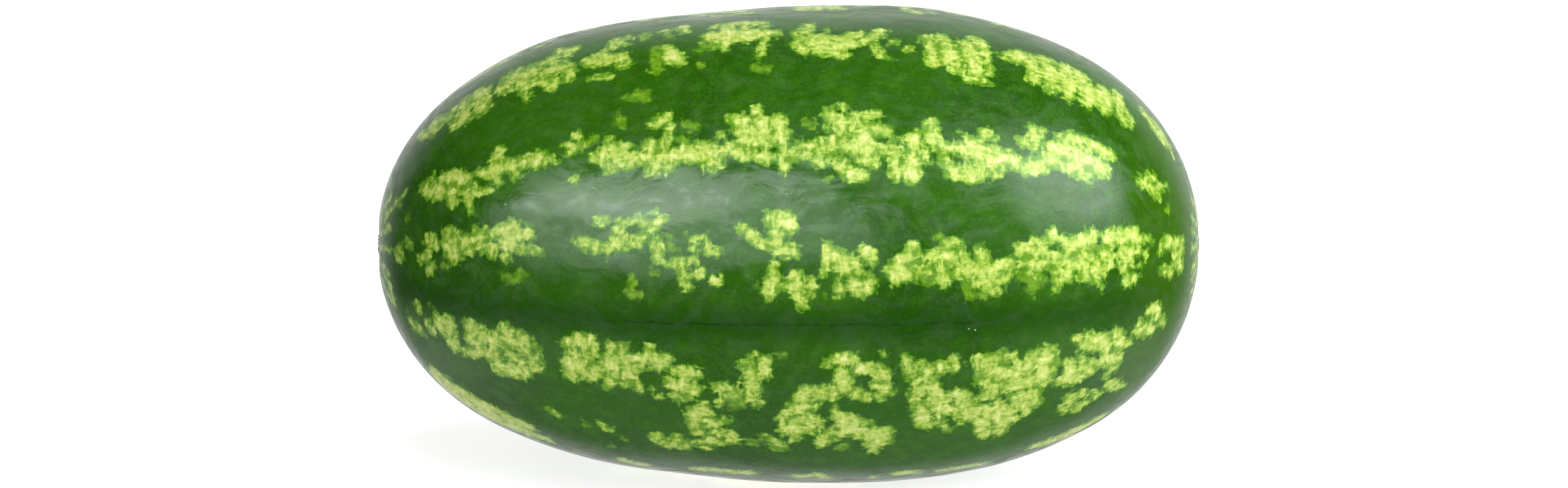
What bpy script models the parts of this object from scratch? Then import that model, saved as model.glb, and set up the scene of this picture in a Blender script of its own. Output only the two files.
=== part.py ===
"""A whole oblong watermelon lying on its side, as picked, with its stalk gone.

The fruit grew as one piece, so it is one solid. Its long axis runs along X, with the
narrower stem end at -X and the blunter blossom end at +X. +Z is up. The origin is under
the middle of the fruit's box, on the flat spot that the fruit rests on.
"""

import math

import bmesh
import bpy

# Driving dimensions, in metres.
LENGTH = 0.400
WAIST_DIAMETER = 0.2318
FLAT_DEPTH = 0.002  # how much of the round belly the flat spot takes away
STEM_DIMPLE_DEPTH = 0.0022
STEM_DIMPLE_RADIUS = 0.0090
BLOSSOM_DIMPLE_DEPTH = 0.0012
BLOSSOM_DIMPLE_RADIUS = 0.0065
LOBE_HEIGHT = 0.0004  # the stripes stand this little above the furrows between them

# Shares that shape the turned outline.
TAPER = 0.041  # makes the blossom end blunter than the stem end
FULLNESS = 0.201  # fills the shoulders out past a plain ellipse
LOBES = 11  # one for each pale stripe

# Mesh resolution.
SEGMENTS_AROUND = 6 * LOBES
RINGS_ALONG = 44
RING_CROWDING = 0.35  # rings stand closer together towards the ends

HALF_LENGTH = LENGTH / 2
WAIST_RADIUS = WAIST_DIAMETER / 2
LOBE_PHASE = math.radians(12)  # the crest that faces -Y lies a little above the middle

RIND_GREEN = (0.045, 0.150, 0.018, 1.0)
RIND_ROUGHNESS = 0.35


def clear_scene():
    for leftover in list(bpy.data.objects):
        bpy.data.objects.remove(leftover)


def girth_radius(share):
    """The fruit's radius at a share of its half length, from -1 (stem) to 1 (blossom)."""
    ellipse = math.sqrt(max(0.0, 1 - share * share))
    return WAIST_RADIUS * ellipse * (1 + TAPER * share + FULLNESS * share * share)


def lobe_lift(around, share):
    """The low swell of the lobes, which dies out towards both ends."""
    return LOBE_HEIGHT * math.cos(LOBES * (around - LOBE_PHASE)) * (1 - share * share)


def dimple(radius, depth, spread):
    """How far the hollow round a scar sinks at this distance from the long axis."""
    return depth * math.exp(-((radius / spread) ** 2))


def rind_point(unit):
    """The point of the rind that a point of the unit sphere, poles on Z, is moved to."""
    polar = math.acos(max(-1.0, min(1.0, unit.z)))
    share = math.cos(polar - RING_CROWDING * math.sin(2 * polar) / 2)
    around = math.atan2(unit.y, unit.x)
    radius = girth_radius(share)
    if radius > 0:
        radius += lobe_lift(around, share)
    if share < 0:
        sink = dimple(radius, STEM_DIMPLE_DEPTH, STEM_DIMPLE_RADIUS)
    else:
        sink = -dimple(radius, BLOSSOM_DIMPLE_DEPTH, BLOSSOM_DIMPLE_RADIUS)
    # The angle around runs from -Y, over the top, to +Y.
    return (
        HALF_LENGTH * share + sink,
        -radius * math.cos(around),
        radius * math.sin(around),
    )


def set_down(mesh):
    """Gives the dimpled fruit its full length, centres it, and cuts the flat spot at Z 0."""
    along = [vertex.co.x for vertex in mesh.verts]
    lowest = min(vertex.co.z for vertex in mesh.verts)
    shift = (-(min(along) + max(along)) / 2, 0.0, -lowest - FLAT_DEPTH)
    bmesh.ops.translate(mesh, vec=shift, verts=mesh.verts)
    stretch = LENGTH / (max(along) - min(along))
    bmesh.ops.scale(mesh, vec=(stretch, 1.0, 1.0), verts=mesh.verts)
    everything = mesh.verts[:] + mesh.edges[:] + mesh.faces[:]
    cut = bmesh.ops.bisect_plane(
        mesh, geom=everything, plane_co=(0, 0, 0), plane_no=(0, 0, -1), clear_outer=True
    )
    rim = [piece for piece in cut["geom_cut"] if isinstance(piece, bmesh.types.BMEdge)]
    flat = bmesh.ops.edgeloop_fill(mesh, edges=rim)["faces"]
    bmesh.ops.poke(mesh, faces=flat)


def rind_material():
    material = bpy.data.materials.new("rind")
    material.use_nodes = True
    skin = material.node_tree.nodes["Principled BSDF"]
    skin.inputs["Base Color"].default_value = RIND_GREEN
    skin.inputs["Roughness"].default_value = RIND_ROUGHNESS
    skin.inputs["Metallic"].default_value = 0.0
    return material


def make_watermelon():
    mesh = bmesh.new()
    bmesh.ops.create_uvsphere(
        mesh, u_segments=SEGMENTS_AROUND, v_segments=RINGS_ALONG, radius=1.0
    )
    for vertex in mesh.verts:
        vertex.co = rind_point(vertex.co)
    set_down(mesh)
    bmesh.ops.recalc_face_normals(mesh, faces=mesh.faces)
    data = bpy.data.meshes.new("watermelon")
    mesh.to_mesh(data)
    mesh.free()
    data.shade_smooth()
    data.set_sharp_from_angle(angle=math.radians(30))
    data.materials.append(rind_material())
    fruit = bpy.data.objects.new("watermelon", data)
    collection = bpy.data.collections.new("watermelon")
    bpy.context.scene.collection.children.link(collection)
    collection.objects.link(fruit)
    return fruit


clear_scene()
make_watermelon()
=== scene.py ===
"""The looks of the watermelon: a fine rind with broken pale stripes, its scars and its studio.

The rind repeats the CAD solid's outline on a mesh fine enough to carry the stripes. On the side
that faces -Y the stripes are listed as runs of round dabs, and the stripes round the back
repeat those runs, turned round the fruit, flipped end to end and jittered. The dabs give every
vertex its depth inside the nearest pale blotch, and the material frays that edge, fringes it
with yellow green and mottles what lies inside.
"""

import math
import random

import bpy
import numpy as np
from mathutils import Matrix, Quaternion, Vector


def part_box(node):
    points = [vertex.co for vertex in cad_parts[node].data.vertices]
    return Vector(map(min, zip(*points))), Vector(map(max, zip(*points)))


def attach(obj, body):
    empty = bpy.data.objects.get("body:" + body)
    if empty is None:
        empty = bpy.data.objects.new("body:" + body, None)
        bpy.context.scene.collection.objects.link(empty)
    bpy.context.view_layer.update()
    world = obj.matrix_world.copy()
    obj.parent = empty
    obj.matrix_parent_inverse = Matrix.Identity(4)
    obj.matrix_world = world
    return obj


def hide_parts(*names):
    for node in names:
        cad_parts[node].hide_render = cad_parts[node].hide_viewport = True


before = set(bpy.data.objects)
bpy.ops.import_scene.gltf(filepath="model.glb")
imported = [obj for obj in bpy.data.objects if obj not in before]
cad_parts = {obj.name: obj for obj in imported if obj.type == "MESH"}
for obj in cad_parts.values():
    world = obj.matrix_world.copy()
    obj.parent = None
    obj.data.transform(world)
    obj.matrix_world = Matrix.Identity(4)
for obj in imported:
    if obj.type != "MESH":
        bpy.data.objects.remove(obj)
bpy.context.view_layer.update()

LOW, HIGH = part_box("watermelon")
MM = 0.001

# The outline: sizes come from the CAD solid's box, and the shares are its own.
HALF_LENGTH = (HIGH[0] - LOW[0]) / 2
WAIST_RADIUS = (HIGH[1] - LOW[1]) / 2
AXIS_Z = HIGH[2] - WAIST_RADIUS
TAPER = 0.041
FULLNESS = 0.201
LOBES = 11
LOBE_HEIGHT = 0.4 * MM

# The camera looks along +Y, this far down. The stripes' angles are laid from its line of sight.
CAMERA_TILT = 15.0
LOBE_PHASE = math.radians(CAMERA_TILT - 3)
SPREADING = 0.99  # undoes what the camera's nearness adds to the stripes' spread

# The scars: (depth of the dimple, spread of the dimple, radius of the cork, its height, seed).
STEM_SCAR = (2.2 * MM, 9.0 * MM, 5.6 * MM, 0.9 * MM, 3)
BLOSSOM_SCAR = (1.2 * MM, 6.5 * MM, 3.6 * MM, 0.7 * MM, 4)

# Slow dents and bumps of the whole rind: (length of the wave, height of the wave).
SWELLS = (
    (130 * MM, 0.28 * MM),
    (90 * MM, 0.20 * MM),
    (60 * MM, 0.12 * MM),
    (38 * MM, 0.06 * MM),
    (24 * MM, 0.03 * MM),
)
WAVES_PER_SWELL = 3
SWELL_SEED = 11
FLAT_TURN = 0.5 * MM  # how softly the belly turns into the flat spot

# The fine mesh.
COLUMNS_AROUND = 344
RING_GAP = 2.0 * MM
END_RING_GAP = 0.45 * MM
END_REACH = 26 * MM  # how far the finer rings reach from each end
OUTLINE_STEPS = 20001  # points on which the outline's length is measured

# Stripes of the side that faces the camera. A dab is (mm along X, degrees round, radius in mm).
# Each line is a run: its dabs are joined up, and a lone dab is round.
CROWN = (
    ((-159, 63, 3), (-158, 51, 4)),
    ((-152, 62, 4), (-150, 52, 4)),
    ((-163, 52, 2), (-163, 50, 2)),
    ((-138, 60, 3), (-131, 61, 5), (-126, 60, 3)),
    ((-130, 58, 4), (-128, 49, 2)),
    ((-117, 58, 3), (-108, 58, 4)),
    ((-118, 55, 3), (-115, 51, 3)),
    ((-107, 56, 2), (-107, 52, 2)),
    ((-111, 68, 3), (-105, 67, 3)),
    ((-98, 58, 3), (-92, 60, 3), (-88, 57, 3)),
    ((-82, 58, 3), (-80, 54, 3)),
    ((-84, 67, 3), (-81, 64, 2)),
    ((-96, 51, 1), (-88, 50, 2)),
    ((-52, 69, 3), (-51, 66, 2)),
    ((-59, 59, 2), (-57, 54, 4), (-53, 53, 3)),
    ((-38, 62, 4), (-28, 62, 6), (-16, 62, 5), (-8, 62, 4)),
    ((-30, 66, 3),),
    ((-20, 66, 3),),
    ((-11, 66, 3),),
    ((-37, 60, 2), (-37, 57, 2)),
    ((-31, 60, 3), (-31, 56, 2)),
    ((-12, 58, 2), (-14, 53, 2)),
    ((5, 57, 3), (8, 54, 3)),
    ((4, 61, 2), (9, 63, 3), (11, 67, 2)),
    ((7, 59, 3), (14, 57, 4), (24, 57, 5), (34, 58, 3), (42, 61, 3)),
    ((15, 54, 3), (27, 53, 3)),
    ((19, 64, 2),),
    ((42, 61, 3), (45, 64, 3)),
    ((42, 57, 2), (46, 53, 2), (50, 52, 1)),
    ((52, 59, 2),),
    ((59, 56, 2),),
    ((68, 62, 3), (70, 57, 3), (71, 51, 3)),
    ((74, 64, 2), (77, 60, 4), (80, 54, 5)),
    ((86, 61, 4), (90, 57, 5), (92, 50, 4)),
    ((88, 47, 2), (96, 47, 2)),
    ((106, 60, 2), (112, 61, 4), (118, 60, 4)),
    ((119, 58, 3), (120, 52, 3)),
    ((125, 61, 3), (128, 57, 5), (127, 49, 2)),
    ((135, 63, 4), (137, 56, 6), (137, 48, 2)),
    ((143, 62, 4), (146, 55, 6), (146, 49, 3)),
    ((154, 60, 4), (154, 54, 6), (154, 49, 3)),
    ((161, 64, 2), (162, 57, 4), (163, 50, 3)),
    ((175, 66, 3), (182, 68, 4), (186, 64, 3)),
    ((179, 62, 3), (184, 60, 3)),
    ((91, 65, 3), (94, 63, 3), (95, 58, 3)),
    ((77, 52, 2), (83, 51, 2)),
    ((97, 56, 2), (97, 50, 2)),
    ((106, 58, 2), (113, 58, 2)),
    ((118, 52, 2), (122, 51, 2)),
    ((131, 52, 2), (131, 50, 2)),
    ((113, 63, 2), (122, 63, 2), (129, 63, 3)),
    ((167, 54, 2), (167, 49, 2)),
    ((124, 56, 4), (131, 56, 3)),
    ((141, 57, 4), (150, 57, 4), (158, 57, 4)),
    ((174, 68, 3), (178, 64, 3), (184, 60, 2)),
    ((186, 66, 2), (188, 59, 2)),
    ((-180, 66, 2), (-177, 58, 2)),
    ((-173, 64, 2), (-171, 57, 2)),
    ((-168, 60, 2), (-166, 57, 2)),
    ((-147, 62, 2), (-147, 52, 2)),
    ((-140, 58, 3), (-137, 57, 2)),
    ((-125, 62, 3), (-125, 54, 2)),
    ((-126, 64, 2), (-119, 63, 3), (-113, 65, 3), (-108, 64, 2)),
    ((-113, 56, 2),),
    ((-113, 52, 2),),
    ((-96, 57, 2), (-91, 56, 2)),
    ((-79, 68, 2), (-76, 66, 1)),
    ((-58, 52, 2), (-52, 52, 2)),
    ((-34, 68, 3), (-22, 69, 3), (-12, 68, 2)),
    ((-41, 58, 2),),
    ((-26, 60, 3), (-18, 60, 3)),
    ((12, 61, 3), (18, 60, 3), (26, 60, 3), (35, 62, 3)),
    ((-175, 60, 2), (-171, 55, 2)),
    ((-163, 61, 2), (-161, 54, 2)),
    ((-138, 63, 2), (-131, 65, 2)),
    ((-139, 56, 2), (-133, 55, 2)),
    ((-119, 62, 1),),
    ((-113, 62, 2), (-108, 60, 2)),
    ((-88, 63, 2), (-79, 63, 2)),
    ((-62, 68, 1), (-58, 68, 1)),
    ((80, 50, 2), (85, 49, 2)),
)
UPPER = (
    ((-178, 27, 2), (-175, 24, 4), (-169, 21, 4)),
    ((-174, 29, 2),),
    ((-168, 27, 3), (-161, 25, 4), (-156, 22, 2)),
    ((-164, 21, 3), (-164, 16, 2)),
    ((-158, 19, 2), (-153, 18, 3), (-147, 18, 2)),
    ((-156, 16, 2), (-155, 12, 2)),
    ((-150, 24, 2), (-143, 24, 4), (-137, 25, 3), (-128, 25, 3), (-121, 25, 4)),
    ((-142, 28, 3), (-141, 31, 2)),
    ((-142, 21, 2),),
    ((-133, 21, 2),),
    ((-107, 28, 2), (-104, 27, 2)),
    ((-103, 31, 2),),
    ((-105, 18, 2),),
    ((-93, 24, 3), (-85, 25, 4), (-78, 23, 3), (-68, 22, 3), (-58, 22, 3)),
    ((-58, 22, 3), (-50, 23, 5), (-40, 23, 5), (-33, 23, 3)),
    ((-88, 28, 2),),
    ((-87, 20, 2),),
    ((-68, 26, 3), (-66, 19, 3)),
    ((-60, 26, 2), (-58, 19, 2)),
    ((-38, 19, 2),),
    ((-33, 27, 2),),
    ((-64, 32, 3), (-59, 33, 3)),
    ((-57, 31, 2), (-59, 26, 2)),
    ((-28, 32, 2), (-22, 31, 4), (-20, 26, 5)),
    ((-28, 24, 3), (-20, 22, 3), (-10, 21, 3)),
    ((-15, 34, 2), (-13, 30, 4), (-11, 26, 5)),
    ((-5, 31, 4), (-3, 26, 3), (-2, 19, 3)),
    ((0, 22, 3), (6, 24, 2), (13, 24, 3), (20, 24, 4)),
    ((15, 21, 2),),
    ((20, 33, 3), (25, 30, 4), (32, 30, 4), (37, 27, 5)),
    ((26, 35, 2),),
    ((33, 33, 2), (38, 32, 2), (43, 33, 2)),
    ((41, 29, 3), (48, 28, 3)),
    ((22, 25, 3), (30, 24, 4), (38, 24, 4), (50, 23, 3), (56, 23, 2)),
    ((24, 20, 3), (29, 17, 3), (36, 17, 3)),
    ((36, 21, 3), (42, 20, 3)),
    ((52, 22, 3), (52, 17, 3)),
    ((56, 26, 2), (62, 27, 3)),
    ((60, 25, 3), (60, 17, 4)),
    ((69, 31, 3), (70, 27, 4)),
    ((72, 25, 2), (80, 25, 2), (90, 25, 5), (100, 24, 5)),
    ((76, 22, 2), (80, 18, 3), (88, 18, 4), (94, 19, 4)),
    ((86, 28, 2),),
    ((96, 29, 3), (100, 28, 2)),
    ((100, 22, 5), (107, 24, 4), (112, 22, 3)),
    ((101, 18, 2),),
    ((116, 21, 4), (122, 22, 4), (128, 25, 4)),
    ((114, 29, 2), (120, 28, 2), (120, 32, 2)),
    ((128, 28, 3), (136, 28, 5), (144, 27, 5), (153, 25, 4)),
    ((133, 32, 2), (140, 33, 3), (150, 32, 3), (158, 31, 2)),
    ((133, 24, 3), (142, 22, 3)),
    ((146, 21, 2),),
    ((171, 25, 2), (176, 25, 3), (180, 23, 3)),
    ((176, 29, 2), (179, 30, 2)),
    ((182, 27, 2), (185, 31, 1)),
    ((-117, 25, 2), (-114, 24, 1)),
    ((-106, 26, 2), (-100, 28, 1)),
    ((-86, 26, 3), (-77, 26, 2)),
    ((-87, 21, 3), (-78, 21, 3)),
    ((-40, 20, 2), (-34, 20, 2)),
    ((2, 21, 2), (10, 22, 2)),
    ((14, 20, 2), (18, 20, 2)),
    ((20, 16, 1),),
    ((19, 29, 2),),
    ((66, 24, 1), (67, 21, 1)),
    ((119, 33, 2), (124, 33, 1)),
    ((-187, 31, 1), (-192, 28, 1), (-198, 25, 1)),
)
MIDDLE = (
    ((-191, -2, 1), (-191, -8, 2)),
    ((-176, 2, 2), (-174, -1, 2)),
    ((-166, 4, 3), (-165, 0, 5), (-163, -4, 4)),
    ((-160, 1, 3), (-152, 0, 3)),
    ((-180, -7, 2), (-176, -6, 2)),
    ((-173, -9, 1), (-176, -12, 2)),
    ((-152, 4, 2), (-148, 4, 2), (-150, 0, 3)),
    ((-155, -2, 2),),
    ((-145, 3, 2), (-137, 4, 4), (-133, 4, 4), (-126, 3, 2)),
    ((-136, 1, 5), (-132, -1, 3)),
    ((-143, -2, 2),),
    ((-137, -4, 2),),
    ((-128, -2, 2),),
    ((-102, 1, 2), (-95, -1, 2), (-88, -1, 2), (-84, 0, 3), (-75, 1, 3), (-70, 2, 2)),
    ((-83, 4, 3), (-78, 6, 2), (-72, 6, 2), (-67, 4, 3), (-62, 6, 2)),
    ((-65, 8, 1),),
    ((-88, -3, 1),),
    ((-64, 0, 3), (-63, -4, 2)),
    ((-57, -5, 2), (-52, -4, 2), (-51, -8, 2), (-49, -11, 1)),
    ((-47, -4, 2),),
    ((-43, -7, 2),),
    ((-40, 1, 2), (-37, -2, 2), (-34, -2, 2)),
    ((-36, -9, 2),),
    ((-23, 4, 2), (-18, 2, 2), (-13, 0, 2)),
    ((-8, 6, 3), (-2, 6, 4), (2, 4, 3)),
    ((-6, 3, 3), (-5, -1, 3), (0, -1, 3), (4, -2, 2)),
    ((-7, -4, 1), (-7, -7, 2)),
    ((-8, -9, 3), (-9, -12, 3)),
    ((-1, -10, 2), (3, -10, 4), (5, -12, 3), (7, -15, 2)),
    ((12, -11, 2),),
    ((19, -1, 3), (19, -5, 3)),
    ((23, -3, 4), (29, -4, 3), (33, -6, 3)),
    ((38, -2, 3), (42, -4, 2)),
    ((17, -7, 2),),
    ((31, -9, 3), (35, -11, 4), (40, -10, 2), (40, -8, 2)),
    ((25, -10, 2), (25, -12, 2)),
    ((50, -6, 3), (54, -5, 4), (58, -3, 3), (61, -1, 3)),
    ((52, -8, 3), (58, -7, 4)),
    ((68, -3, 2), (74, -3, 3), (78, -3, 3)),
    ((74, -7, 3), (76, -9, 3)),
    ((77, 0, 2), (82, 0, 2)),
    ((85, -3, 2), (88, -7, 3)),
    ((83, -7, 3), (90, -7, 3), (99, -7, 4)),
    ((94, -2, 3), (95, -5, 3)),
    ((102, -6, 4), (107, -6, 3)),
    ((97, -11, 3), (102, -12, 2)),
    ((113, -1, 3), (118, -2, 3), (123, -2, 3)),
    ((126, 1, 2), (129, 3, 2)),
    ((127, -4, 3), (132, -5, 3)),
    ((131, -8, 3), (131, -12, 2)),
    ((136, -5, 3), (136, -10, 2)),
    ((139, 0, 4), (145, 0, 5), (148, 3, 3)),
    ((142, -5, 5), (148, -7, 5), (152, -8, 4)),
    ((153, -2, 3), (157, -4, 3)),
    ((151, -11, 2), (153, -14, 1)),
    ((155, 2, 3), (162, 3, 4), (168, 3, 4), (172, 2, 3)),
    ((163, -3, 3), (170, -2, 3)),
    ((166, -6, 3),),
    ((165, -13, 2), (169, -13, 2)),
    ((184, 1, 3), (189, 0, 3), (193, 1, 2)),
    ((189, -6, 3), (190, -11, 3), (192, -14, 3)),
    ((-190, -3, 2), (-189, -8, 2)),
    ((-186, 2, 1), (-185, 0, 1)),
    ((-173, 2, 2), (-172, -1, 2)),
    ((-162, 4, 2),),
    ((-159, -4, 2),),
    ((-147, 0, 2), (-144, -3, 2)),
    ((-126, -2, 2), (-121, -2, 1)),
    ((-91, 6, 2), (-88, 6, 2)),
    ((-45, 1, 2), (-45, -1, 1)),
    ((-34, -9, 2),),
    ((1, -8, 2), (5, -8, 2)),
    ((10, -9, 2), (13, -10, 1)),
    ((24, -6, 2), (29, -7, 2)),
    ((64, -7, 2), (69, -7, 2)),
    ((81, -5, 2),),
    ((88, -10, 2), (95, -10, 2), (105, -9, 2)),
    ((113, -5, 2), (118, -5, 3), (125, -6, 2)),
    ((117, -8, 2), (122, -9, 2)),
    ((119, 1, 2),),
    ((133, 1, 2), (136, -1, 3)),
    ((148, -3, 2),),
    ((157, 0, 2), (160, -2, 2)),
    ((142, -10, 2), (149, -11, 2)),
    ((156, -8, 2), (157, -5, 2)),
    ((162, -7, 2), (164, -10, 2)),
    ((171, -9, 1),),
    ((176, 2, 2), (177, 0, 1)),
    ((174, -4, 2),),
    ((182, -2, 2),),
    ((184, -12, 2), (187, -16, 2)),
    ((190, -7, 2), (193, -3, 2)),
)
LOWER = (
    ((-195, -36, 1), (-193, -46, 2)),
    ((-185, -44, 2), (-183, -47, 2)),
    ((-172, -32, 2), (-170, -35, 3), (-166, -38, 3), (-164, -42, 2)),
    ((-157, -29, 2), (-154, -30, 4), (-155, -34, 3), (-151, -38, 3), (-154, -41, 2)),
    ((-148, -33, 4), (-143, -32, 4), (-137, -31, 4), (-130, -31, 4)),
    ((-138, -27, 3),),
    ((-143, -36, 3),),
    ((-128, -32, 3), (-124, -36, 3), (-125, -39, 3)),
    ((-140, -43, 4), (-135, -42, 5), (-128, -41, 4)),
    ((-107, -28, 3), (-100, -27, 4), (-97, -29, 3)),
    ((-106, -34, 4), (-105, -38, 3)),
    ((-102, -34, 4), (-97, -37, 3)),
    ((-86, -28, 3), (-80, -28, 3)),
    ((-90, -33, 4), (-84, -33, 5), (-78, -32, 5), (-72, -31, 4), (-66, -30, 3), (-60, -30, 3)),
    ((-67, -27, 2),),
    ((-85, -37, 4), (-88, -40, 2)),
    ((-66, -39, 1), (-63, -42, 1)),
    ((-53, -33, 3), (-47, -34, 3), (-43, -34, 2)),
    ((-58, -37, 3), (-52, -38, 4), (-46, -39, 4)),
    ((-56, -41, 2), (-52, -42, 2), (-47, -42, 1)),
    ((-68, -33, 1), (-60, -32, 2)),
    ((-79, -39, 2), (-74, -38, 1)),
    ((-139, -38, 2),),
    ((-96, -33, 2),),
    ((-34, -38, 3), (-29, -38, 3), (-26, -40, 3)),
    ((-32, -41, 2), (-33, -43, 1)),
    ((-20, -31, 3), (-18, -34, 4), (-18, -38, 4)),
    ((-11, -30, 3), (-12, -33, 3)),
    ((-17, -28, 1),),
    ((-16, -42, 3),),
    ((20, -30, 2), (26, -29, 3), (31, -29, 3)),
    ((26, -33, 4), (27, -37, 4)),
    ((35, -32, 3), (42, -32, 3), (47, -34, 3)),
    ((47, -38, 4), (44, -40, 2)),
    ((39, -40, 2), (33, -39, 3)),
    ((46, -28, 1),),
    ((22, -38, 3), (15, -38, 3), (9, -38, 3), (6, -40, 3)),
    ((9, -42, 3), (4, -44, 4)),
    ((13, -43, 2),),
    ((8, -51, 3), (12, -51, 2)),
    ((23, -44, 2), (25, -46, 2)),
    ((3, -48, 4), (12, -47, 4)),
    ((-2, -46, 3), (-2, -52, 2)),
    ((3, -50, 4), (4, -54, 3)),
    ((8, -48, 4), (13, -49, 3)),
    ((58, -30, 3), (60, -33, 3)),
    ((67, -32, 2), (68, -36, 3), (72, -40, 4)),
    ((63, -36, 2), (64, -38, 2)),
    ((74, -32, 3), (80, -32, 3), (81, -30, 2)),
    ((62, -42, 3), (65, -46, 4), (65, -49, 4)),
    ((76, -42, 4), (83, -41, 4), (87, -44, 4)),
    ((78, -46, 3), (86, -48, 5)),
    ((93, -32, 3), (97, -34, 3), (99, -40, 3)),
    ((103, -30, 2), (100, -32, 3)),
    ((103, -36, 5), (110, -36, 5), (118, -35, 5), (126, -33, 5)),
    ((108, -40, 5), (118, -40, 5), (125, -38, 5)),
    ((112, -45, 4), (118, -46, 5), (120, -49, 4)),
    ((90, -49, 5), (101, -47, 4), (98, -50, 5), (108, -49, 4)),
    ((128, -32, 3), (130, -36, 2)),
    ((131, -38, 1), (127, -41, 2), (123, -43, 1)),
    ((141, -29, 2), (147, -30, 3)),
    ((145, -32, 4), (153, -33, 4), (155, -37, 3)),
    ((161, -36, 3), (166, -39, 2)),
    ((137, -37, 3), (138, -41, 4)),
    ((133, -43, 3), (140, -44, 4), (147, -43, 3)),
    ((148, -39, 2),),
    ((153, -42, 4), (159, -42, 4), (158, -46, 3), (156, -49, 2)),
    ((177, -29, 3), (180, -31, 3), (180, -34, 3)),
    ((172, -36, 3), (176, -38, 3), (178, -41, 2)),
    ((62, -31, 2), (66, -32, 3)),
    ((92, -31, 3), (100, -31, 3), (108, -31, 3)),
    ((93, -35, 3), (94, -39, 2)),
    ((93, -43, 2), (98, -42, 3)),
    ((119, -32, 3), (125, -31, 3)),
    ((63, -40, 3),),
    ((71, -42, 3), (74, -46, 3)),
    ((43, -35, 2), (43, -37, 2)),
    ((143, -37, 3), (144, -41, 3)),
    ((160, -31, 2), (163, -35, 2)),
    ((170, -34, 2), (172, -33, 2)),
    ((183, -38, 2), (184, -43, 1)),
    ((162, -43, 3), (161, -48, 2)),
    ((25, -45, 2), (31, -47, 3), (38, -49, 2)),
    ((13, -40, 2), (22, -40, 2)),
    ((-166, -31, 3), (-164, -36, 3), (-163, -41, 2)),
    ((-148, -37, 3), (-143, -39, 3)),
    ((-136, -36, 3), (-130, -37, 2)),
    ((-157, -41, 2),),
    ((-135, -28, 3), (-128, -29, 3)),
    ((-122, -33, 2), (-122, -38, 2)),
    ((-107, -31, 2), (-100, -31, 3), (-95, -31, 3)),
    ((-96, -26, 3), (-96, -30, 2)),
    ((-94, -35, 3), (-94, -38, 2)),
    ((-79, -35, 3), (-75, -36, 2), (-72, -40, 1)),
    ((-181, -30, 1), (-180, -34, 1)),
    ((-176, -37, 2), (-174, -40, 2)),
    ((-181, -43, 1), (-180, -47, 1)),
)
LOWER_BRANCH = (
    ((-41, -44, 2), (-46, -47, 4), (-46, -52, 3), (-44, -54, 3)),
    ((-40, -47, 3), (-38, -49, 3), (-36, -51, 3)),
    ((-40, -52, 2),),
    ((-38, -54, 2), (-32, -54, 3), (-28, -54, 2), (-27, -57, 2)),
    ((-38, -57, 4), (-34, -58, 3)),
    ((-40, -61, 2),),
    ((-65, -58, 3), (-62, -60, 3), (-58, -62, 2)),
    ((-55, -57, 2), (-55, -61, 3), (-50, -61, 3)),
    ((-91, -55, 1), (-88, -57, 2)),
    ((17, -54, 3), (16, -57, 2)),
    ((19, -52, 2), (26, -52, 3)),
    ((22, -55, 2),),
    ((27, -47, 4), (32, -51, 5), (38, -53, 5), (47, -53, 4)),
    ((41, -57, 4), (48, -56, 3)),
    ((42, -60, 2),),
    ((36, -48, 2),),
    ((67, -51, 3),),
    ((84, -51, 2),),
    ((95, -52, 4), (95, -56, 4), (96, -59, 3)),
    ((102, -50, 5), (104, -56, 4), (104, -59, 3)),
    ((108, -51, 4), (110, -54, 3)),
    ((116, -50, 4), (117, -53, 2)),
    ((138, -52, 3), (138, -55, 3), (142, -61, 2)),
    ((143, -52, 3), (146, -54, 2)),
    ((156, -54, 2), (160, -57, 3), (163, -61, 2)),
    ((149, -55, 1), (150, -59, 1)),
    ((73, -50, 2), (77, -53, 1)),
    ((153, -57, 2),),
    ((142, -58, 3), (146, -59, 2)),
    ((134, -55, 2), (136, -58, 2)),
    ((-48, -59, 2), (-42, -58, 2)),
    ((-30, -49, 2),),
    ((-12, -54, 1), (-7, -56, 2), (-3, -58, 2)),
    ((-115, -55, 1), (-112, -56, 1)),
)
BELLY = (
    ((-172, -69, 5), (-157, -69, 6), (-140, -69, 6), (-127, -69, 4)),
    ((-172, -75, 6), (-155, -76, 7), (-138, -75, 7), (-119, -74, 4)),
    ((-80, -76, 4), (-72, -78, 4)),
    ((-44, -77, 4), (-30, -77, 5), (-18, -76, 4)),
    ((5, -77, 4), (14, -75, 4), (18, -77, 4)),
    ((42, -78, 3),),
    ((55, -76, 4), (62, -76, 4)),
    ((76, -78, 4), (86, -78, 4), (95, -79, 3)),
    ((122, -75, 4), (128, -77, 5), (140, -78, 6), (152, -78, 5)),
)
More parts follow.
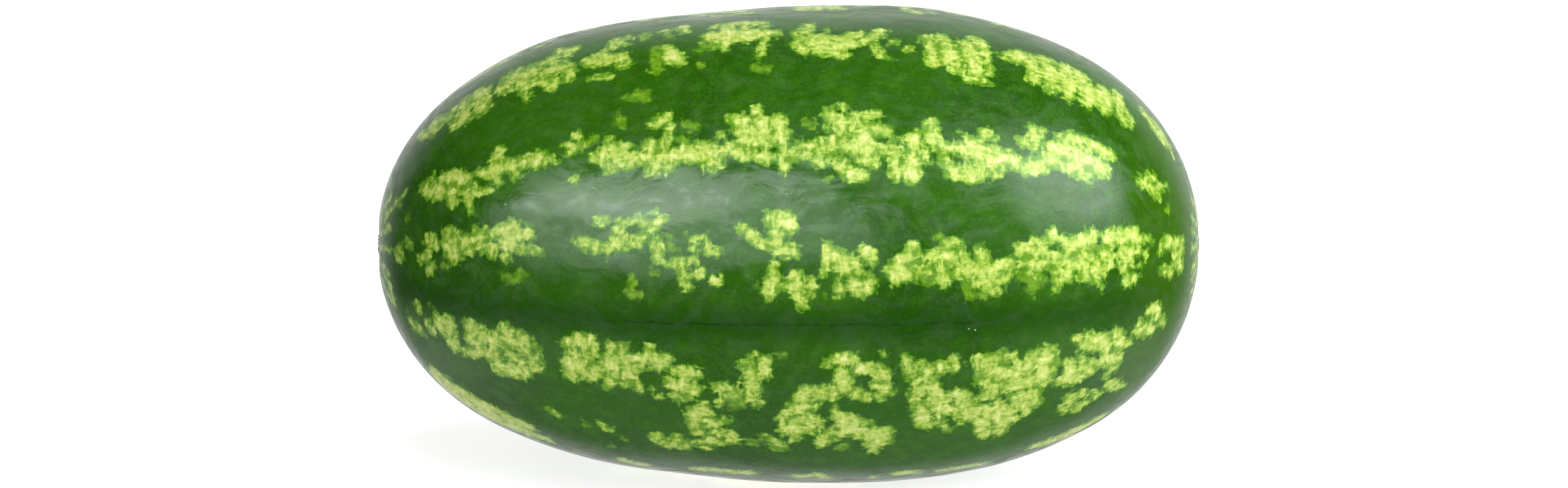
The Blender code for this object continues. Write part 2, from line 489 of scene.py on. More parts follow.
# Greener blotches, where the stripe barely shows through.
FAINT = (
    ((-176, 64, 2), (-174, 55, 3)),
    ((-167, 61, 2), (-165, 56, 2)),
    ((-70, 68, 2), (-70, 65, 2)),
    ((-60, 67, 2), (-58, 64, 2)),
    ((-121, 63, 2), (-116, 62, 2)),
    ((-65, 58, 3), (-64, 50, 3)),
    ((-42, 58, 2), (-42, 56, 2)),
    ((-43, 50, 2),),
    ((-16, 48, 2), (-10, 48, 2)),
    ((-78, 41, 2), (-71, 41, 4)),
    ((-82, 34, 2),),
    ((-97, 28, 2),),
    ((-50, 31, 2), (-46, 30, 2)),
    ((-51, 27, 2),),
    ((-193, 32, 1), (-190, 27, 2)),
    ((-186, 14, 1),),
    ((8, 31, 2), (11, 30, 2)),
    ((186, 17, 2),),
    ((-187, 3, 1), (-184, -1, 1)),
    ((-167, -8, 2),),
    ((-120, -2, 1),),
    ((-139, -10, 1), (-134, -11, 2), (-129, -9, 2)),
    ((-93, 5, 1),),
    ((-58, 2, 1), (-56, -1, 2)),
    ((-49, 2, 1),),
    ((-65, -7, 2),),
    ((-75, -9, 2), (-78, -12, 2), (-73, -13, 2)),
    ((-15, -10, 1),),
    ((18, -12, 1),),
    ((64, -4, 3), (66, -8, 3), (70, -9, 2)),
    ((73, 2, 2),),
    ((86, -10, 3), (88, -13, 2), (96, -13, 2)),
    ((116, -8, 4), (122, -9, 4), (118, -12, 3)),
    ((172, -8, 1),),
    ((183, -3, 1),),
    ((183, -13, 2),),
    ((-183, -31, 1), (-181, -35, 1)),
    ((-178, -46, 1),),
    ((-175, -28, 1),),
    ((-177, -38, 1),),
    ((-165, -29, 1),),
    ((-157, -43, 1),),
    ((-123, -31, 3),),
    ((-76, -37, 2), (-74, -40, 2)),
    ((-27, -44, 2), (-22, -42, 3)),
    ((-3, -28, 2),),
    ((181, -37, 2), (184, -42, 2)),
    ((168, -37, 2),),
    ((-117, -54, 2), (-112, -56, 2)),
    ((-99, -56, 1), (-98, -58, 1)),
    ((-79, -61, 1),),
    ((-87, -66, 2),),
    ((-17, -57, 3),),
    ((-12, -54, 2), (-9, -56, 2), (-8, -59, 2)),
    ((-3, -59, 3),),
    ((26, -58, 3),),
    ((75, -50, 2), (78, -54, 2)),
    ((143, -57, 2),),
    ((133, -56, 2),),
    ((-84, 36, 1), (-81, 33, 2)),
    ((-94, 29, 2),),
)
# Dark gaps inside blotches.
GAPS = (
    ((-132, -36, 1),),
    ((-7, 24, 1),),
    ((-2, 29, 1),),
    ((23, 27, 2), (31, 27, 2)),
    ((42, 23, 1),),
    ((37, -36, 2),),
    ((93, -41, 2),),
    ((105, -44, 2), (106, -46, 1)),
    ((-143, 0, 1),),
    ((131, 0, 1), (135, -2, 1)),
    ((160, 0, 1), (160, -6, 1)),
)

# Stripes round the back: (runs repeated, where their middle lies, where it goes, end to end: 1 or -1).
HIDDEN = (
    (UPPER, 25, 90, -1),
    (LOWER, -38, 122, -1),
    (MIDDLE, -3, 155, -1),
    (CROWN, 57, 188, 1),
    (UPPER, 25, 221, 1),
    (MIDDLE, -3, 253, 1),
)
JITTER_ALONG = 3.0  # mm
JITTER_ROUND = 1.5  # degrees
JITTER_SIZE = 0.25  # share of a dab's radius
HIDDEN_FAINT = (150, 190)  # degrees round that the greener blotches are repeated about
STRIPE_SEED = 5

# Thin streaks that close the stripes in on the scars: (mm along X, radius in mm).
STREAKS = (
    ((-187, 2.0), (-195, 1.6), (-200.5, 1.0)),
    ((194, 1.5), (198, 1.2), (201, 0.8)),
)

DEEPEST = 14.0  # mm at which the depth inside or outside a blotch stops counting
GAP_EASE = 0.5  # mm by which the gaps are drawn in

# Colours of the rind.
DEEP_GREEN = (0.0095, 0.050, 0.0010, 1)
MID_GREEN = (0.0165, 0.074, 0.0014, 1)
LIGHT_GREEN = (0.030, 0.110, 0.0040, 1)
# Painted shade: the deeper green of the band along the front.
PAINTED_SHADE_GREEN = (0.0055, 0.040, 0.0004, 1)
FURROW_LINE_GREEN = (0.0040, 0.018, 0.0010, 1)
OLIVE_GREEN = (0.030, 0.092, 0.0008, 1)
# Whitish wax bloom, faint all over; on its patch it is painted highlight.
BLOOM_AND_HIGHLIGHT = (0.300, 0.360, 0.310, 1)
FRINGE_GREEN = (0.065, 0.180, 0.008, 1)
PALE_STOPS = (
    (0.00, (0.088, 0.196, 0.009, 1)),
    (0.25, (0.180, 0.297, 0.032, 1)),
    (0.50, (0.275, 0.375, 0.060, 1)),
    (0.75, (0.370, 0.445, 0.105, 1)),
    (1.00, (0.465, 0.505, 0.190, 1)),
)
FAINT_STOPS = ((0.38, (0.060, 0.170, 0.004, 1)), (0.66, (0.150, 0.290, 0.012, 1)))
CORK_STOPS = ((0.35, (0.060, 0.042, 0.018, 1)), (0.65, (0.230, 0.180, 0.090, 1)))
OLIVE_REACH = (150, 190)  # mm along X over which the rind turns olive
END_ZONE = 150  # mm from the middle, past which the corky plates may show

# Where the underside lay on the soil: half of the spot's length and of its width, in mm.
GROUND_SPOT = (62, 33)
GROUND_STOPS = ((0.36, (0.400, 0.350, 0.100, 1)), (0.66, (0.560, 0.500, 0.190, 1)))

# A furrow shows along the front as a fine dark line, inside a broad band of deeper green, which is
# painted shade on the front only.
FURROW_ROUND = -20.0  # degrees
FURROW_ENDS = (-92, 102)  # mm along X
FURROW_FADE = 15  # mm over which the line fades in at its ends
PAINTED_SHADE_BAND = 15.0  # mm that the band of painted shade reaches above and below the line

# The patch of painted highlight, where the wax bloom whitens the rind in streaks where the left gloss
# falls: (mm along X, degrees round, half length, half width).
PAINTED_HIGHLIGHT_PATCH = (-52.0, 9.0, 98.0, 34.0)

# Small marks: (mm along X, degrees round, radius in mm, colour).
MARKS = (
    (-141.0, 13.5, 0.9, (0.006, 0.022, 0.004, 1)),
    (-138.0, 12.5, 0.7, (0.550, 0.560, 0.460, 1)),
    (-71.5, 11.0, 0.7, (0.020, 0.045, 0.012, 1)),
    (88.0, -22.0, 0.6, (0.230, 0.300, 0.120, 1)),
    (91.0, -22.4, 0.5, (0.230, 0.300, 0.120, 1)),
)

# The studio.
FRUIT_MIDDLE = Vector((0, 0, AXIS_Z))
CAMERA_DISTANCE = 10.0
SENSOR_WIDTH = 36.0  # mm
FRAME_WIDTH = 0.7627  # what the frame spans at the fruit's middle
FRAME_SHIFT = -2.0 * MM
FILL = 0.34  # how white the world is in the rind's soft shading
FLOOR_SIZE = 40.0
FLOOR_DROP = 0.3 * MM
FLOOR_GREY = (0.50, 0.50, 0.50, 1)
FLOOR_GLOW = 0.82

# Panels of light: (name, azimuth, height, roll, the angles its width and height fill, radiance,
# whether it gives the gloss or the soft shading). All angles are in degrees.
PANELS = (
    ("overhead", 48, 50, 0, 74, 74, 4.7, False),
    ("left_glow", -26, 21, 0, 68, 42, 2.3, True),
    ("left_core", -32, 37, 12, 46, 10, 8.0, True),
    ("right_glow", 67, 35, 0, 52, 60, 2.2, True),
    ("right_core", 68, 36, -34, 44, 30, 4.2, True),
)
PANEL_DISTANCE = 3.4
GLOSS_TINT = (0.95, 0.97, 1.0)


def girth_radius(share):
    """The fruit's radius at shares of its half length, from -1 (stem) to 1 (blossom)."""
    ellipse = np.sqrt(np.clip(1 - share * share, 0, None))
    return WAIST_RADIUS * ellipse * (1 + TAPER * share + FULLNESS * share * share)


def on_rind(share, around, lift=0.0):
    """Points of the rind. The angle around runs from -Y, over the top, to +Y."""
    radius = girth_radius(share) + lift
    return np.stack(
        [
            HALF_LENGTH * share,
            -radius * np.cos(around),
            AXIS_Z + radius * np.sin(around),
        ],
        axis=-1,
    )


def smooth_step(value, start, end):
    share = np.clip((value - start) / (end - start), 0, 1)
    return share * share * (3 - 2 * share)


def ring_shares():
    """Shares of the half length where the rings stand, closer together towards the ends."""
    angle = np.linspace(math.pi, 0, OUTLINE_STEPS)
    share = np.cos(angle)
    step = np.hypot(np.diff(HALF_LENGTH * share), np.diff(girth_radius(share)))
    length = np.concatenate([[0], np.cumsum(step)])
    to_end = np.minimum(length, length[-1] - length)
    gap = END_RING_GAP + (RING_GAP - END_RING_GAP) * smooth_step(to_end, 0, END_REACH)
    count = np.concatenate([[0], np.cumsum(step * 2 / (gap[1:] + gap[:-1]))])
    rings = int(round(count[-1]))
    wanted = np.arange(1, rings) * count[-1] / rings
    return np.cos(np.interp(wanted, count, angle)), np.interp(wanted, count, length / length[-1])


def swell(points):
    """Low, slow dents and bumps of the whole rind, in metres."""
    draw = random.Random(SWELL_SEED)
    total = np.zeros(points.shape[:-1])
    for wave_length, height in SWELLS:
        for _ in range(WAVES_PER_SWELL):
            direction = Vector([draw.gauss(0, 1) for _ in range(3)]).normalized()
            turn = points @ np.array(direction) * math.tau / wave_length
            total += height * np.sin(turn + draw.uniform(0, math.tau))
    return total


def scar_lift(radius, around, scar):
    """How far a scar's cork and its dimple stand out along the fruit's axis, in metres."""
    depth, spread, cork, height, seed = scar
    draw = random.Random(seed)
    edge = np.full_like(around, cork)
    for waves in (2, 3, 5, 9):
        edge += cork * 0.09 / math.sqrt(waves) * np.sin(waves * around + draw.uniform(0, math.tau))
    plate = height * smooth_step(radius, edge, edge * 0.82)
    furrows = 0.16 * height * np.sin(13 * around + 900 * radius) * smooth_step(radius, 0, edge)
    pit = 0.55 * height * np.exp(-((radius / (0.28 * cork)) ** 2))
    rim = 0.25 * height * np.exp(-(((radius - 0.80 * edge) / (0.12 * cork)) ** 2))
    inside = smooth_step(radius, edge, edge * 0.9)
    return plate + inside * (furrows + rim) - pit - depth * np.exp(-((radius / spread) ** 2))


def rind_points():
    """The rind's points, ring by ring from the stem end, with each ring's share of the length."""
    share, along = ring_shares()
    around = np.arange(COLUMNS_AROUND) * math.tau / COLUMNS_AROUND - math.pi / 2
    share_grid, around_grid = np.meshgrid(share, around, indexing="ij")
    lift = LOBE_HEIGHT * np.cos(LOBES * (around_grid - LOBE_PHASE)) * (1 - share_grid**2)
    lift += swell(on_rind(share_grid, around_grid)) * (1 - share_grid**4)
    points = on_rind(share_grid, around_grid, lift)
    radius = girth_radius(share_grid)
    stem = share_grid < 0
    points[..., 0] -= np.where(stem, scar_lift(radius, around_grid, STEM_SCAR), 0)
    points[..., 0] += np.where(stem, 0, scar_lift(radius, around_grid, BLOSSOM_SCAR))
    poles = np.array([[-1.0, 0, 0], [1.0, 0, 0]]) * HALF_LENGTH + [0, 0, AXIS_Z]
    poles[0, 0] = points[0, :, 0].mean()
    poles[1, 0] = points[-1, :, 0].mean()
    points = np.concatenate([points.reshape(-1, 3), poles])
    points[:, 2] = rest_on_floor(points[:, 2])
    return points, along


def rest_on_floor(height):
    """Flattens what would reach below the floor, with a soft turn round the flat spot."""
    flat = (height + np.sqrt(height * height + FLAT_TURN * FLAT_TURN)) / 2
    return flat - flat.min()


def rind_faces(rings):
    """Quads between the rings and a fan at each end, as lists of point numbers."""
    ring = np.arange(rings - 1)[:, None] * COLUMNS_AROUND
    column = np.arange(COLUMNS_AROUND)
    after = (column + 1) % COLUMNS_AROUND
    quads = np.stack(
        [ring + column, ring + column + COLUMNS_AROUND, ring + after + COLUMNS_AROUND, ring + after],
        axis=-1,
    )
    last = (rings - 1) * COLUMNS_AROUND
    stem, blossom = rings * COLUMNS_AROUND, rings * COLUMNS_AROUND + 1
    fans = [[stem, a, b] for a, b in zip(column.tolist(), after.tolist())]
    fans += [[blossom, last + b, last + a] for a, b in zip(column.tolist(), after.tolist())]
    return quads.reshape(-1, 4).tolist() + fans


def laid(run):
    """A run of dabs as rows of (x, y, z, radius), in millimetres."""
    dabs = np.array(run, float)
    share = np.clip(dabs[:, 0] * SPREADING * MM / HALF_LENGTH, -0.9995, 0.9995)
    spots = on_rind(share, np.radians(dabs[:, 1] * SPREADING + CAMERA_TILT)) / MM
    return np.column_stack([spots, dabs[:, 2]])


def turned(runs, middle, goal, end, draw):
    """A hidden stripe: the runs moved round by goal - middle, flipped by end, and jittered."""
    for run in runs:
        yield [
            (
                end * along + draw.uniform(-JITTER_ALONG, JITTER_ALONG),
                goal + end * (round_ - middle) + draw.uniform(-JITTER_ROUND, JITTER_ROUND),
                radius * (1 + draw.uniform(-JITTER_SIZE, JITTER_SIZE)),
            )
            for along, round_, radius in run
        ]


def end_streaks(draw):
    """Short thin runs that carry the stripes towards both scars, shorter still in front."""
    for streak in STREAKS:
        for lobe in range(LOBES * 2):
            middle = -3 + lobe * 180 / LOBES + draw.uniform(-5, 5)
            in_front = math.cos(math.radians(middle)) > 0
            first = 1 if in_front else draw.choice((0, 0, 1))
            yield [
                (along, middle + draw.uniform(-4, 4), radius * draw.uniform(0.4, 1.0))
                for along, radius in streak[first:]
            ]


def depth_inside(points, runs):
    """How deep each point lies inside the nearest run, in millimetres. Outside is negative."""
    best = np.full(len(points), -DEEPEST)
    for run in runs:
        dabs = laid(run)
        if len(dabs) == 1:
            dabs = np.repeat(dabs, 2, axis=0)
        for start, end in zip(dabs, dabs[1:]):
            reach = max(start[3], end[3]) + DEEPEST
            low = np.minimum(start[:3], end[:3]) - reach
            high = np.maximum(start[:3], end[:3]) + reach
            near = np.flatnonzero(((points > low) & (points < high)).all(axis=1))
            step = end[:3] - start[:3]
            share = (points[near] - start[:3]) @ step / max(step @ step, 1e-9)
            share = np.clip(share, 0, 1)
            gap = np.linalg.norm(points[near] - start[:3] - share[:, None] * step, axis=1)
            depth = start[3] + share * (end[3] - start[3]) - gap
            best[near] = np.maximum(best[near], depth)
    return np.clip(best, -DEEPEST, DEEPEST)


def set_floats(mesh, name, values):
    layer = mesh.attributes.new(name, "FLOAT", "POINT")
    layer.data.foreach_set("value", np.asarray(values, np.float32))


def stripe_depths(points):
    """How deep each point lies in pale blotches, and in faint ones, in millimetres."""
    draw = random.Random(STRIPE_SEED)
    pale = list(CROWN + UPPER + MIDDLE + LOWER + LOWER_BRANCH + BELLY)
    for runs, middle, goal, end in HIDDEN:
        pale += list(turned(runs, middle, goal, end, draw))
    pale += list(end_streaks(draw))
    faint = list(FAINT)
    for goal in HIDDEN_FAINT:
        faint += list(turned(FAINT, 0, goal, -1, draw))
    millimetres = points / MM
    inside = depth_inside(millimetres, pale)
    gaps = depth_inside(millimetres, GAPS)
    return np.minimum(inside, GAP_EASE - gaps), depth_inside(millimetres, faint)


def add_bake_map(mesh, along):
    """A map unrolled round the long axis, with its seam underneath, for baking the material."""
    uv = mesh.uv_layers.new(name="OFBake")
    corners = np.empty(len(mesh.loops), np.int32)
    mesh.loops.foreach_get("vertex_index", corners)
    starts = np.empty(len(mesh.polygons), np.int32)
    mesh.polygons.foreach_get("loop_start", starts)
    totals = np.empty(len(mesh.polygons), np.int32)
    mesh.polygons.foreach_get("loop_total", totals)
    rings = len(along)
    ring, column = np.divmod(corners, COLUMNS_AROUND)
    pole = ring >= rings
    height = np.where(pole, np.where(column == 0, 0.0, 1.0), along[np.minimum(ring, rings - 1)])
    turn = column / COLUMNS_AROUND
    face = np.repeat(np.arange(len(starts)), totals)
    first = np.full(len(starts), 2.0)
    np.minimum.at(first, face[~pole], turn[~pole])
    last = np.zeros(len(starts))
    np.maximum.at(last, face[~pole], turn[~pole])
    wraps = (last - first > 0.5)[face]
    turn = np.where(wraps & (turn < 0.5), turn + 1, turn)
    middle = np.where(last - first > 0.5, 1 - 0.5 / COLUMNS_AROUND, (first + last) / 2)[face]
    turn = np.where(pole, middle, turn)
    uv.data.foreach_set("uv", np.column_stack([turn, height]).astype(np.float32).ravel())


def make_rind():
    points, along = rind_points()
    mesh = bpy.data.meshes.new("rind")
    mesh.from_pydata(points.tolist(), [], rind_faces(len(along)))
    mesh.shade_smooth()
    pale, faint = stripe_depths(points)
    set_floats(mesh, "pale_depth", pale)
    set_floats(mesh, "faint_depth", faint)
    add_bake_map(mesh, along)
    mesh.materials.append(rind_material())
    rind = bpy.data.objects.new("rind", mesh)
    bpy.context.scene.collection.objects.link(rind)
    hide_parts("watermelon")
    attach(rind, "root")


class Nodes:
    """Adds nodes to a tree. All but close return the new node's output, ready to be linked."""

    def __init__(self, tree):
        self.tree = tree
        tree.nodes.clear()

    def add(self, kind, sockets=(), output=0, **settings):
        """Adds a node. A socket takes a plain value or is linked to another node's output."""
        node = self.tree.nodes.new(kind)
        for name, value in settings.items():
            setattr(node, name, value)
        for name, value in dict(sockets).items():
            if isinstance(value, bpy.types.NodeSocket):
                self.tree.links.new(value, node.inputs[name])
            else:
                node.inputs[name].default_value = value
        return node.outputs[output]

    def close(self, kind, shader):
        """Ends the tree with the output node of this kind."""
        self.tree.links.new(shader, self.tree.nodes.new(kind).inputs["Surface"])

    def math(self, operation, first, second=0.0):
        return self.add("ShaderNodeMath", {0: first, 1: second}, operation=operation)

    def vector(self, operation, first, second):
        both = {0: first, "Scale" if operation == "SCALE" else 1: second}
        return self.add("ShaderNodeVectorMath", both, operation=operation)

    def plus(self, *values):
        total = values[0]
        for value in values[1:]:
            total = self.math("ADD", total, value)
        return total

    def most(self, *values):
        largest = values[0]
        for value in values[1:]:
            largest = self.math("MAXIMUM", largest, value)
        return largest

    def times(self, first, second):
        return self.math("MULTIPLY", first, second)

    def span(self, value, low, high, to_low=0.0, to_high=1.0, smooth=False):
        """The value carried from one span to another, held at its ends."""
        ends = {"From Min": low, "From Max": high, "To Min": to_low, "To Max": to_high}
        kind = "SMOOTHSTEP" if smooth else "LINEAR"
        return self.add(
            "ShaderNodeMapRange", {"Value": value, **ends}, interpolation_type=kind, clamp=True
        )

    def spread(self, value, reach):
        """Noise, which keeps between about 0.25 and 0.75, stretched over -reach to reach."""
        return self.span(value, 0.25, 0.75, -reach, reach)

    def noise(self, place, size, detail=2.0, rough=0.5, colour=False):
        """Noise whose lumps are about this many millimetres across."""
        sockets = {"Vector": place, "Scale": 1 / size, "Detail": detail, "Roughness": rough}
        return self.add("ShaderNodeTexNoise", sockets, output=1 if colour else 0)

    def length(self, vector):
        return self.add("ShaderNodeVectorMath", {0: vector}, output=1, operation="LENGTH")

    def weave(self, place, size):
        """Noise in short strokes, some along the fruit and some round it.

        The larger of two noises runs high, so it's brought back down to their usual middle.
        """
        along = self.noise(self.vector("MULTIPLY", place, (0.5, 1.2, 1.2)), size, 2)
        round_ = self.noise(self.vector("MULTIPLY", place, (1.5, 0.6, 0.6)), size, 2)
        return self.plus(self.most(along, round_), -0.05)

    def bent(self, place, size, reach):
        """The place pushed about by slow noise, so that what is drawn on it winds."""
        push = self.vector("SUBTRACT", self.noise(place, size, 1, colour=True), (0.5, 0.5, 0.5))
        return self.vector("ADD", place, self.vector("SCALE", push, 2 * reach))

    def puffs(self, place, size, softness=0.35):
        """Rounded cells: 0 in the middle of each, towards 1 in the furrows between them."""
        sockets = {"Vector": place, "Scale": 1 / size, "Smoothness": softness}
        return self.add("ShaderNodeTexVoronoi", sockets, feature="SMOOTH_F1")

    def attribute(self, name):
        return self.add("ShaderNodeAttribute", output=2, attribute_name=name)

    def mix_value(self, share, first, second):
        return self.add("ShaderNodeMix", {0: share, 2: first, 3: second}, data_type="FLOAT")

    def mix(self, share, first, second):
        sockets = {0: share, 6: first, 7: second}
        return self.add("ShaderNodeMix", sockets, output=2, data_type="RGBA")

    def ramp(self, value, *stops):
        """A colour for a 0 to 1 value, from stops of (position, colour)."""
        output = self.add("ShaderNodeValToRGB", {"Fac": value})
        elements = output.node.color_ramp.elements
        elements[0].position, elements[0].color = stops[0]
        elements[1].position, elements[1].color = stops[-1]
        for position, colour in stops[1:-1]:
            elements.new(position).color = colour
        return output


def rind_material():
    material = bpy.data.materials.new("rind")
    material.use_nodes = True
    n = Nodes(material.node_tree)
    place = n.vector("SCALE", n.add("ShaderNodeTexCoord", output=3), 1 / MM)
    wax = wax_streaks(n, place)
    cork = in_cork(n, place)
    # The dark rind whitened by wax bloom, and by painted highlight on one patch.
    dark = n.mix(bloom_and_highlight_share(n, place, wax), dark_green(n, place), BLOOM_AND_HIGHLIGHT)
    colour = striped_colour(n, place, dark)
    colour = with_ground_spot(n, place, with_marks(n, place, colour))
    corky = n.ramp(n.noise(place, 1.8, 3, 0.6), *CORK_STOPS)
    skin = {
        "Base Color": n.mix(cork, colour, corky),
        "Roughness": n.mix_value(cork, n.span(wax, 0.35, 0.65, 0.14, 0.34), 0.8),
        "IOR": 1.45,
        "Normal": skin_bump(n, place, wax),
    }
    n.close("ShaderNodeOutputMaterial", n.add("ShaderNodeBsdfPrincipled", skin))
    return material


def spot_at(around, along=0.0):
    """The point of the rind at this many millimetres along X and degrees round."""
    return laid([(along, around, 0)])[0, :3]


def in_cork(n, place):
    """1 on the corky plates of both scars, 0 elsewhere."""
    along = n.add("ShaderNodeSeparateXYZ", {0: place})
    across = n.vector("MULTIPLY", n.vector("SUBTRACT", place, FRUIT_MIDDLE / MM), (0, 1, 1))
    from_axis = n.plus(n.length(across), n.spread(n.noise(place, 2.5), 0.7))
    both = []
    for scar, end in ((STEM_SCAR, -1), (BLOSSOM_SCAR, 1)):
        edge = scar[2] / MM
        plate = n.span(from_axis, edge + 0.3, edge - 0.5)
        both.append(n.times(plate, n.span(along, end * END_ZONE, end * (END_ZONE + 1))))
    return n.plus(*both)


def dark_green(n, place):
    """The rind between the stripes: deep green, mottled broadly and finely with a lighter one."""
    colour = n.ramp(n.noise(place, 70), (0.35, DEEP_GREEN), (0.7, MID_GREEN))
    cloud = n.span(n.noise(place, 8, 4, 0.6), 0.42, 0.68, smooth=True)
    grain = n.span(n.noise(place, 1.6, 3, 0.6), 0.48, 0.66, smooth=True)
    share = n.plus(n.times(cloud, 0.40), n.times(grain, 0.35))
    colour = n.mix(share, colour, LIGHT_GREEN)
    winding = n.add("ShaderNodeSeparateXYZ", {0: n.bent(place, 14, 1.2)}).node.outputs
    colour = with_furrow_and_shade(n, place, winding, colour)
    return n.mix(n.span(winding[0], *OLIVE_REACH, 0.0, 0.6, smooth=True), colour, OLIVE_GREEN)


def with_furrow_and_shade(n, place, winding, colour):
    """Adds the furrow that shows in front: a fine broken line in a band of deeper green, which is
    painted shade.
    """
    along, depth, height = winding
    off_line = n.math("ABSOLUTE", n.plus(height, -spot_at(FURROW_ROUND)[2]))
    in_front = n.span(depth, -20, -40)
    # Painted shade: the band darkens the front towards a deeper green.
    band = n.times(n.span(off_line, PAINTED_SHADE_BAND, 0.0, smooth=True), in_front)
    colour = n.mix(n.times(band, 0.75), colour, PAINTED_SHADE_GREEN)
    left, right = FURROW_ENDS
    from_left = n.span(along, left, left + FURROW_FADE)
    from_right = n.span(along, right, right - FURROW_FADE)
    line = n.times(n.span(off_line, 0.9, 0.2), in_front)
    line = n.times(n.times(from_left, from_right), line)
    broken = n.span(n.noise(place, 5), 0.38, 0.55)
    return n.mix(n.times(n.times(line, broken), 0.6), colour, FURROW_LINE_GREEN)


def striped_colour(n, place, dark):
    """The dark rind with pale lace-edged blotches, greener ones and a thin bright fringe."""
    winding = n.bent(place, 5, 1.2)
    lobes = n.spread(n.noise(place, 9), 1.0)
    lace = n.span(n.puffs(winding, 3.8), 0.12, 0.62, 0.9, -0.9)
    teeth = n.spread(n.weave(winding, 3.0), 1.7)
    wobble = n.plus(lobes, lace, teeth, 0.9)
    depth = n.plus(n.attribute("pale_depth"), wobble)

    elsewhere = n.vector("ADD", winding, (40, 0, 0))  # so that the blocks don't follow the teeth
    blocks = n.spread(n.weave(elsewhere, 4.6), 0.58)
    mottle = n.plus(blocks, n.spread(n.noise(winding, 2.0, 3, 0.6), 0.34))
    heart = n.plus(n.span(depth, -0.4, 3.2, 0.04, 0.58), mottle)
    pale = n.ramp(heart, *PALE_STOPS)
    colour = n.mix(n.span(depth, -1.6, -0.2, smooth=True), dark, FRINGE_GREEN)
    colour = n.mix(n.span(depth, -0.5, 0.6, smooth=True), colour, pale)

    faint = n.plus(n.attribute("faint_depth"), wobble)
    faint_colour = n.ramp(n.noise(place, 3, 2), *FAINT_STOPS)
    outside = n.span(depth, 0.0, -1.5, smooth=True)
    faint_share = n.times(n.span(faint, -1.5, 1.5, smooth=True), outside)
    return n.mix(n.times(faint_share, 0.8), colour, faint_colour)


def with_marks(n, place, colour):
    """Adds the small marks."""
    for along, around, radius, paint in MARKS:
        gap = n.length(n.vector("SUBTRACT", n.bent(place, 1.5, 0.5), spot_at(around, along)))
        colour = n.mix(n.span(gap, radius * 1.3, radius * 0.5), colour, paint)
    return colour


def with_ground_spot(n, place, colour):
    """Adds the creamy spot underneath, over which the stripes fade."""
    long, wide = GROUND_SPOT
    reach = n.length(n.vector("MULTIPLY", n.bent(place, 24, 10), (1 / long, 1 / wide, 0)))
    reach = n.plus(reach, n.spread(n.noise(place, 7, 4, 0.6), 0.22))
    low = n.span(n.add("ShaderNodeSeparateXYZ", {0: place}, output=2), 40, 20)
    spot = n.times(n.span(reach, 1.20, 0.62, smooth=True), low)
    cream = n.ramp(n.noise(place, 9, 4, 0.6), *GROUND_STOPS)
    return n.mix(n.times(spot, 0.92), colour, cream)


def wax_streaks(n, place):
    """Swirls of thicker and thinner wax, drawn out along the fruit."""
    drawn_out = n.vector("MULTIPLY", n.bent(place, 42, 22), (0.30, 1.0, 1.0))
    return n.noise(drawn_out, 6, 3, 0.6)


def bloom_and_highlight_share(n, place, wax):
    """How white the wax makes the dark rind: streaks of painted highlight on one patch, where the left
    gloss falls, next to nothing elsewhere.
    """
    along, around, long, wide = PAINTED_HIGHLIGHT_PATCH
    gap = n.vector("SUBTRACT", n.bent(place, 30, 12), spot_at(around, along))
    reach = n.length(n.vector("MULTIPLY", gap, (1 / long, 1 / wide, 1 / wide)))
    # Painted highlight: the patch lies where the left gloss falls on the rind.
    patch = n.span(reach, 1.25, 0.65, 0.10, 1.0, smooth=True)
    return n.times(patch, n.span(wax, 0.42, 0.68, 0.0, 0.12, smooth=True))


def skin_bump(n, place, wax):
    """Shallow dents, ripples where the wax lies thicker, and fine pores."""
    dents = n.times(n.noise(place, 26), 0.30)
    ripples = n.times(wax, 0.10)
    grain = n.times(n.noise(place, 1.0, 2), 0.003)
    height = n.plus(dents, ripples, grain)
    return n.add("ShaderNodeBump", {"Height": height, "Distance": MM, "Strength": 1.0})


def toward(azimuth, height):
    """A direction from the fruit. Azimuth runs from -Y towards +X, both angles in degrees."""
    turn, rise = math.radians(azimuth), math.radians(height)
    flat = math.cos(rise)
    return Vector((math.sin(turn) * flat, -math.cos(turn) * flat, math.sin(rise)))


def look_back(item, roll=0.0):
    """Turns a camera or a light to face the middle of the fruit, rolled by this many degrees."""
    facing = (FRUIT_MIDDLE - item.location).to_track_quat("-Z", "Y")
    item.rotation_euler = (facing @ Quaternion((0, 0, 1), math.radians(roll))).to_euler()


def add_camera():
    data = bpy.data.cameras.new("camera")
    data.sensor_width = SENSOR_WIDTH
    data.lens = data.sensor_width * CAMERA_DISTANCE / FRAME_WIDTH
    camera = bpy.data.objects.new("camera", data)
    camera.location = FRUIT_MIDDLE + CAMERA_DISTANCE * toward(0, CAMERA_TILT)
    look_back(camera)
    camera.location.x += FRAME_SHIFT
    bpy.context.scene.collection.objects.link(camera)
    bpy.context.scene.camera = camera


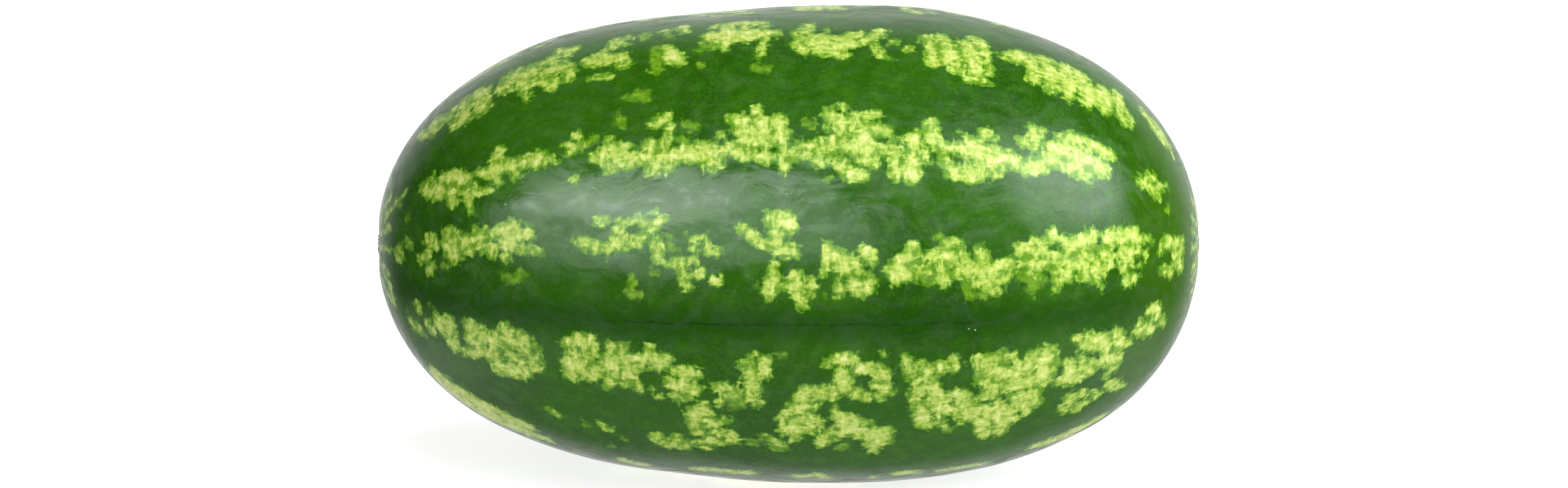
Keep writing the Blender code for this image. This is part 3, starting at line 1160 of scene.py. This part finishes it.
def add_panel(name, azimuth, height, roll, width, tall, radiance, gloss):
    """A panel of light, which gives either the soft shading or the gloss on the rind."""
    data = bpy.data.lights.new(name, "AREA")
    data.shape = "ELLIPSE" if gloss else "RECTANGLE"
    data.size = 2 * PANEL_DISTANCE * math.tan(math.radians(width / 2))
    data.size_y = 2 * PANEL_DISTANCE * math.tan(math.radians(tall / 2))
    data.energy = radiance * math.pi * data.size * data.size_y
    if gloss:
        data.energy *= math.pi / 4
        data.color = GLOSS_TINT
    panel = bpy.data.objects.new(name, data)
    panel.location = FRUIT_MIDDLE + PANEL_DISTANCE * toward(azimuth, height)
    look_back(panel, roll)
    panel.visible_camera = False
    panel.visible_glossy = gloss
    panel.visible_diffuse = not gloss
    bpy.context.scene.collection.objects.link(panel)


def add_world():
    """White to the camera and a low fill on the rind. The gloss sees white behind and low down."""
    world = bpy.data.worlds.new("studio")
    world.use_nodes = True
    bpy.context.scene.world = world
    n = Nodes(world.node_tree)
    split = n.add("ShaderNodeSeparateXYZ", {0: n.add("ShaderNodeTexCoord", output=0)})
    # Each is a direction's share, from -1 to 1. Behind the fruit, along_view is 1.
    aside, along_view, height = split.node.outputs
    behind = n.span(along_view, 0.48, 0.95, smooth=True)
    ends = n.span(n.math("ABSOLUTE", aside), 0.25, 0.70, smooth=True)
    low_ends = n.times(ends, n.span(height, -0.36, -0.66, 0.0, 1.0))
    low_behind = n.times(n.span(along_view, 0.25, 0.62, 0.0, 0.72), n.span(height, -0.4, -0.6))
    below = n.span(height, -0.55, -0.95, 0.0, 0.35)
    gloss = n.most(behind, low_ends, low_behind, below, 0.02)
    rays = n.add("ShaderNodeLightPath").node.outputs
    strength = n.mix_value(rays["Is Glossy Ray"], FILL, gloss)
    strength = n.most(strength, rays["Is Camera Ray"])
    n.close("ShaderNodeOutputWorld", n.add("ShaderNodeBackground", {"Strength": strength}))


def add_floor():
    bpy.ops.mesh.primitive_plane_add(size=FLOOR_SIZE, location=(0, 0, -FLOOR_DROP))
    floor = bpy.context.object
    floor.name = "floor"
    material = bpy.data.materials.new("floor")
    material.use_nodes = True
    paper = material.node_tree.nodes["Principled BSDF"]
    paper.inputs["Base Color"].default_value = FLOOR_GREY
    paper.inputs["Roughness"].default_value = 0.9
    paper.inputs["Emission Color"].default_value = (1, 1, 1, 1)
    paper.inputs["Emission Strength"].default_value = FLOOR_GLOW
    floor.data.materials.append(material)
    floor.visible_glossy = False


bpy.context.scene.view_settings.view_transform = "Standard"
make_rind()
add_camera()
add_world()
for panel in PANELS:
    add_panel(*panel)
add_floor()
